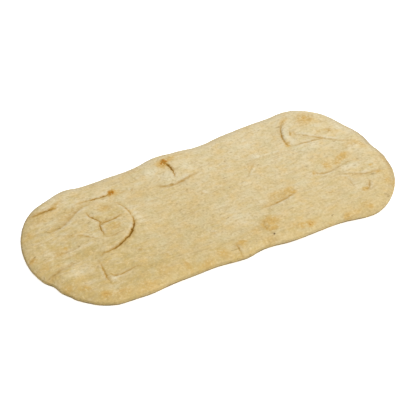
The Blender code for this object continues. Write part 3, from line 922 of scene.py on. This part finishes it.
def roll_out(points, edge, depth, height):
    """Plan places with the rounded rim unrolled outwards, for the texture map."""
    _, normals, inset = edge_frame(points, edge)
    inset = np.clip(inset, 0.0, depth)
    turn = np.linspace(0.0, math.pi / 2, COARSE_STATIONS)
    across = depth * (1.0 - np.cos(turn))
    steps = np.hypot(np.diff(across), np.diff(height * np.sin(turn)))
    run = np.concatenate([[0.0], np.cumsum(steps)])
    left = run[-1] - np.interp(inset, across, run)
    return points + normals * (left - (depth - inset))[:, None]


def map_corners(top, top_faces, under, under_faces, edge):
    """Texture map places of the corners of every triangle."""
    span = LENGTH + MAP_MARGIN
    top_map = roll_out(top, edge, SHOULDER, THICKNESS - RIM_HEIGHT) / span + MAP_TOP
    under_map = roll_out(under, edge, HEEL, RIM_HEIGHT) / span + MAP_UNDER
    corners = [top_map[list(face)] for face in top_faces]
    corners += [under_map[list(face[::-1])] for face in under_faces]
    return np.vstack(corners)


def surface_fields(plan, stain_and_shade, fold, edge):
    """Per-vertex values for the material, those of the top first."""
    is_top = np.arange(len(plan)) < len(stain_and_shade)
    below = np.zeros(len(plan) - len(stain_and_shade))
    # Pale patches of flour and painted highlight, and the painted highlight of the fold crests
    flour_and_highlight = patch_field(plan, FLOUR_AND_HIGHLIGHT_PATCHES) * is_top
    fields = {
        "stain_and_shade": np.concatenate([stain_and_shade, below]),
        "toast": patch_field(plan, TOASTED) * is_top,
        "burnt": patch_field(plan, BURNT) * is_top,
        "flour_and_highlight": np.maximum(flour_and_highlight, np.concatenate([FOLD_HIGHLIGHT_SHARE * fold, below])),
        "tone": np.where(is_top, tone_and_painted_light(plan), TONE_UNDER),
        "lively": np.interp(plan[:, 0], LIVELY_PLACES, LIVELY_SHARES),
        "inset": np.clip(edge_distance(plan, edge), 0.0, None),
        "below": 1.0 - is_top,
    }
    fields["rim"], fields["pale_back_rim"] = painted_rim_and_heel_shade(plan, edge, is_top)
    return fields


def bread_surface():
    """Vertices, triangles, per-vertex fields and the texture map of the crust."""
    edge = edge_line(EDGE_STATIONS)
    fine_edge = edge_line(FINE_STATIONS)
    count = len(edge)
    top = top_points(edge, fine_edge)
    under = under_points(edge, fine_edge)
    top_faces = face_triangles(top, count)
    under_faces = face_triangles(under, count)

    top_z, stain_and_shade, fold = top_surface(top, fine_edge)
    top_z[:count] = RIM_HEIGHT
    under_z = under_surface(under, fine_edge)[count:]
    plan = np.vstack([top, under[count:]])
    fields = surface_fields(plan, stain_and_shade, fold, fine_edge)
    vertices = np.column_stack([nicked(plan, fine_edge), np.concatenate([top_z, under_z])])

    shift = len(top) - count
    turned = [tuple(i if i < count else i + shift for i in face[::-1]) for face in under_faces]
    corners = map_corners(top, top_faces, under, under_faces, fine_edge)
    return vertices, top_faces + turned, fields, corners


def make_crust():
    """The crust as one closed mesh."""
    vertices, faces, fields, corners = bread_surface()
    mesh = bpy.data.meshes.new("flatbread_crust")
    mesh.from_pydata((vertices * MM).tolist(), [], faces)
    mesh.shade_smooth()
    for name, values in fields.items():
        layer = mesh.attributes.new(name, "FLOAT", "POINT")
        layer.data.foreach_set("value", values.astype(np.float32))
    layer = mesh.uv_layers.new(name="OFBake")
    layer.data.foreach_set("uv", corners.astype(np.float32).ravel())
    mesh.materials.append(crust_material())
    crust = bpy.data.objects.new("flatbread_crust", mesh)
    bpy.context.scene.collection.objects.link(crust)
    return crust


# ---- material ----
def linear(red, green, blue):
    """A colour as it looks under the studio light, 0 to 255, as the shader takes it."""
    return tuple((c / 12.92 if c <= 0.04045 else ((c + 0.055) / 1.055) ** 2.4) / BRIGHTNESS
                 for c in (red / 255, green / 255, blue / 255)) + (1.0,)


class Nodes:
    """Short calls for building a material's nodes."""

    def __init__(self, name):
        self.material = bpy.data.materials.new(name)
        self.material.use_nodes = True
        self.tree = self.material.node_tree
        self.shader = self.tree.nodes["Principled BSDF"]

    def add(self, kind, inputs=(), **settings):
        """Adds a node, sets its properties and its inputs, which may be sockets."""
        node = self.tree.nodes.new(kind)
        for key, value in settings.items():
            setattr(node, key, value)
        for key, value in dict(inputs).items():
            self.set(node.inputs[key], value)
        return node

    def set(self, socket, value):
        """Links a socket to another, or gives it a value."""
        if isinstance(value, bpy.types.NodeSocket):
            self.tree.links.new(value, socket)
        else:
            socket.default_value = value

    def surface(self, values):
        """Sets the shader's own sockets by their names."""
        for name, value in values.items():
            self.set(self.shader.inputs[name], value)

    def field(self, name):
        """A per-vertex value of the mesh."""
        return self.add("ShaderNodeAttribute", attribute_name=name).outputs["Fac"]

    def math(self, operation, first, second):
        """One arithmetic step."""
        return self.add("ShaderNodeMath", {0: first, 1: second}, operation=operation).outputs[0]

    def sum(self, first, second):
        """Two values added."""
        return self.math("ADD", first, second)

    def times(self, first, second):
        """Two values multiplied."""
        return self.math("MULTIPLY", first, second)

    def mix(self, share, first, second):
        """Mixes two colours."""
        node = self.add("ShaderNodeMix", data_type="RGBA")
        self.set(node.inputs[0], share)
        self.set(node.inputs[6], first)
        self.set(node.inputs[7], second)
        return node.outputs[2]

    def tint(self, colour, share, name):
        """Lays a named colour over another."""
        return self.mix(share, colour, linear(*COLOURS[name]))

    def spread(self, value, low, high, out_low=0.0, out_high=1.0, smooth=True):
        """Maps a range of values to another, clamped."""
        node = self.add("ShaderNodeMapRange", {0: value, 1: low, 2: high, 3: out_low, 4: out_high})
        node.interpolation_type = "SMOOTHSTEP" if smooth else "LINEAR"
        return node.outputs[0]

    def over(self, colour, name, value, smooth=True):
        """Lays a named layer over a colour, following a value."""
        low, high, strength = LAYERS[name]
        return self.tint(colour, self.spread(value, low, high, 0.0, strength, smooth), name)

    def swing(self, value, amount):
        """Noise as a swing from -amount to amount."""
        return self.spread(value, *NOISE_RANGE, -amount, amount, smooth=False)

    def place(self, stretch=1.0, shift=(0.0, 0.0, 0.0)):
        """Position on the object in metres, stretched along the bread and shifted."""
        source = self.add("ShaderNodeTexCoord").outputs["Object"]
        inputs = {"Vector": source, "Scale": (stretch, 1.0, 1.0), "Location": shift}
        return self.add("ShaderNodeMapping", inputs).outputs[0]

    def noise(self, place, size, detail, roughness=0.55, twist=0.0):
        """Noise whose lumps are about size metres."""
        inputs = {"Vector": place, "Scale": 1.0 / size, "Detail": detail,
                  "Roughness": roughness, "Distortion": twist}
        return self.add("ShaderNodeTexNoise", inputs).outputs[0]


def crust_noises(n):
    """The noises that the crust's colour and relief share."""
    plain = n.place()
    long_way = n.place(0.4)
    short_way = n.place(0.62)
    drawn_out = n.place(0.17, (0.0, 0.43, 0.0))
    apart = n.place(1.0, (0.31, 0.17, 0.0))
    return {
        "broad": n.noise(plain, BROAD, 3.0),
        "mottle": n.noise(short_way, MOTTLE, 4.0),
        "blotch": n.noise(long_way, BLOTCH, 4.0, 0.62, 0.4),
        "wrinkle": n.noise(drawn_out, WRINKLE, 3.0, 0.52, 0.5),
        "grain": n.noise(plain, GRAIN, 2.0, 0.6),
        "pore": n.noise(long_way, PORE, 2.0, 0.5),
        "hue": n.noise(apart, HUE, 2.0),
    }


def swung(n, noises, swings):
    """The swings of two noises together."""
    first, second = [n.swing(noises[name], amount) for name, amount in swings.items()]
    return n.sum(first, second)


def pale_crust(n, noises):
    """Colour of the plain crust: from flour and painted highlight to darker, with the tone's painted light,
    mottled, here warmer and there cooler.
    """
    lively = n.field("lively")
    coarse = swung(n, noises, COARSE_SWINGS)
    fine = swung(n, noises, FINE_SWINGS)
    tone = n.sum(n.field("tone"), n.times(n.field("flour_and_highlight"), FLOUR_AND_HIGHLIGHT_SHARE))
    tone = n.sum(tone, n.times(coarse, lively))
    tone = n.sum(tone, n.times(fine, n.spread(lively, *FINE_LIVELY, smooth=False)))
    colour = linear(*COLOURS["crust"])
    colour = n.over(colour, "dark crust", tone, smooth=False)
    colour = n.over(colour, "pale crust", tone, smooth=False)
    colour = n.over(colour, "warm crust", noises["hue"])
    return n.over(colour, "cool crust", noises["hue"])


def banded(n, noises, colour):
    """Browner, broken band inside the edge, strongest where the crust is darkest."""
    band = n.spread(n.field("inset"), *BAND_WIDTH)
    band = n.times(band, n.spread(n.field("tone"), *BAND_DARK))
    band = n.times(band, n.spread(noises["blotch"], *BAND_BREAKS))
    return n.tint(colour, band, "band")


def ragged_toast(n, noises):
    """Strength of the toasted patches, broken up by mottle and grain."""
    ragged = swung(n, noises, TOAST_SWINGS)
    return n.times(n.field("toast"), n.sum(ragged, 1.0))


def baked_below(n, noises, colour):
    """Light brown baking blotches of the underside."""
    under = n.times(n.field("below"), n.spread(noises["blotch"], *UNDER_BLOTCHES))
    under = n.times(under, n.spread(noises["broad"], *UNDER_PATCHES))
    return n.tint(colour, under, "underside")


def grained(n, noises, colour):
    """Grain, fine wrinkles and pores over the colour."""
    colour = n.over(colour, "dark grain", noises["grain"])
    colour = n.over(colour, "pale grain", noises["grain"])
    colour = n.over(colour, "wrinkle", noises["wrinkle"])
    return n.over(colour, "pore", noises["pore"])


def creased(n, colour):
    """Brown creases, partly painted shade, and burnt specks."""
    stain_and_shade = n.field("stain_and_shade")
    colour = n.over(colour, "stain_and_shade", stain_and_shade, smooth=False)
    colour = n.over(colour, "deep stain", stain_and_shade)
    return n.over(colour, "burnt", n.field("burnt"))


def rimmed(n, noises, colour):
    """Paler band on the back rim, and the painted shade of the rim's edge and the heel."""
    colour = n.tint(colour, n.times(n.field("pale_back_rim"), PALE_BACK_RIM_SHARE), "pale_back_rim")
    rim = n.times(n.field("rim"), n.spread(noises["mottle"], *RIM_MOTTLE))
    # Painted shade: brown to grey along the top's edge, darker on the heel
    shade = n.over(linear(*COLOURS["brown rim"]), "grey rim", n.field("tone"))
    shade = n.tint(shade, n.field("below"), "heel")
    return n.mix(rim, colour, shade)


def crust_bump(n, noises):
    """Fine relief of the crust: lumps and grain up, wrinkles and pores down."""
    relief = {name: n.times(noises[name], share) for name, share in RELIEF.items()}
    height = n.sum(relief["mottle"], relief["grain"])
    height = n.sum(height, relief["blotch"])
    height = n.math("SUBTRACT", height, relief["wrinkle"])
    height = n.math("SUBTRACT", height, n.spread(noises["pore"], *PORE_RELIEF))
    bump = n.add("ShaderNodeBump", {"Height": height, "Strength": 1.0, "Distance": BUMP})
    return bump.outputs[0]


def crust_material():
    """Pale baked crust: mottled and wrinkled, toasted in patches, darkest in the creases."""
    n = Nodes("crust")
    noises = crust_noises(n)
    toast = ragged_toast(n, noises)
    colour = banded(n, noises, pale_crust(n, noises))
    colour = n.over(colour, "toast", toast)
    colour = grained(n, noises, baked_below(n, noises, colour))
    colour = n.over(colour, "deep toast", toast)
    colour = rimmed(n, noises, creased(n, colour))
    roughness = n.spread(noises["mottle"], *NOISE_RANGE, *CRUST_ROUGHNESS)
    n.surface({"Base Color": colour, "Roughness": roughness, "Specular IOR Level": GLOSS})
    n.surface({"Normal": crust_bump(n, noises)})
    return n.material


def floor_material():
    """Plain white paper-like surface."""
    n = Nodes("floor")
    colour = n.mix(n.noise(n.place(), FLOOR_NOISE, 2.0), *FLOOR_WHITES)
    n.surface({"Base Color": colour, "Roughness": FLOOR_ROUGHNESS, "Specular IOR Level": GLOSS})
    n.surface({"Emission Color": WHITE, "Emission Strength": FLOOR_GLOW})
    return n.material


# ---- stage ----
def make_floor():
    """Wide floor under the bread."""
    half = FLOOR_HALF
    corners = [(-half, -half, 0.0), (half, -half, 0.0), (half, half, 0.0), (-half, half, 0.0)]
    mesh = bpy.data.meshes.new("floor")
    mesh.from_pydata(corners, [], [(0, 1, 2, 3)])
    mesh.materials.append(floor_material())
    floor = bpy.data.objects.new("floor", mesh)
    floor.location.z = -FLOOR_DROP
    bpy.context.scene.collection.objects.link(floor)
    return floor


def aim(thing, place, target):
    """Puts a lamp or the camera at a place, looking at a target."""
    thing.location = place
    direction = Vector(target) - Vector(place)
    thing.rotation_euler = direction.to_track_quat("-Z", "Y").to_euler()


def make_lights():
    """Square soft boxes aimed at the bread."""
    for name, (place, size, power) in SOFT_BOXES.items():
        lamp = bpy.data.lights.new(name, "AREA")
        lamp.shape = "SQUARE"
        lamp.size = size
        lamp.energy = power
        holder = bpy.data.objects.new(name, lamp)
        bpy.context.scene.collection.objects.link(holder)
        aim(holder, place, (0.0, 0.0, 0.0))


def make_world():
    """Even white surroundings."""
    world = bpy.data.worlds.new("studio")
    world.use_nodes = True
    world.node_tree.nodes["Background"].inputs[0].default_value = WHITE
    world.node_tree.nodes["Background"].inputs[1].default_value = SURROUNDINGS
    bpy.context.scene.world = world


def make_camera():
    """Long lens at the photograph's angle."""
    lens = bpy.data.cameras.new("camera")
    lens.lens = CAMERA_LENS
    lens.sensor_width = CAMERA_SENSOR
    lens.clip_end = CAMERA_REACH
    camera = bpy.data.objects.new("camera", lens)
    bpy.context.scene.collection.objects.link(camera)
    aim(camera, CAMERA_PLACE, CAMERA_AIM)
    bpy.context.scene.camera = camera


crust = make_crust()
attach(crust, "root")
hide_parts("flatbread")
floor = make_floor()
make_world()
make_lights()
make_camera()
bpy.context.scene.view_settings.view_transform = "Standard"
